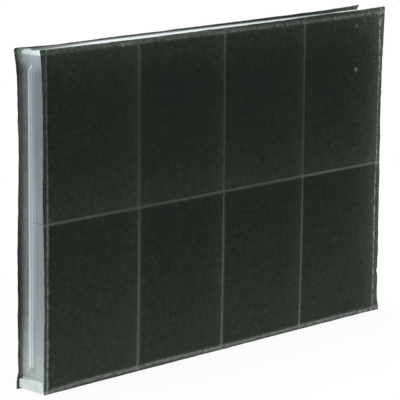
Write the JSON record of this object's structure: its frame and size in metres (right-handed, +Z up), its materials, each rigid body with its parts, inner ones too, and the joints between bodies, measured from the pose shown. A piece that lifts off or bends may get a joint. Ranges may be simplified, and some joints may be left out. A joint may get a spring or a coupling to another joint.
{
  "type": "cooker hood carbon filter",
  "caption": "Flat rectangular charcoal filter cassette: a moulded grid frame filled with charcoal, black fleece welded over both sides, guide ribs on its short ends.",
  "frame": {"origin": "bottom centre of the bounding box, on the surface that the lower long edge stands on", "axes": "+X along the length, +Y from the front fleece to the rear fleece, +Z up from the lower long edge"},
  "size_m": [0.3848, 0.0292, 0.2631],
  "materials": {
    "milky_plastic": "natural milky white polypropylene, satin, a little translucent",
    "black_fleece": "black non-woven fleece, matt, pressed smooth and greyer along the welds",
    "charcoal_granules": "loose black activated charcoal granules"
  },
  "bodies": {
    "root": {"frame": "milky_plastic", "front_fleece": "black_fleece", "rear_fleece": "black_fleece", "charcoal_bed_1": "charcoal_granules", "charcoal_bed_2": "charcoal_granules", "charcoal_bed_3": "charcoal_granules", "charcoal_bed_4": "charcoal_granules", "charcoal_bed_5": "charcoal_granules", "charcoal_bed_6": "charcoal_granules", "charcoal_bed_7": "charcoal_granules", "charcoal_bed_8": "charcoal_granules"}
  },
  "joints": []
}
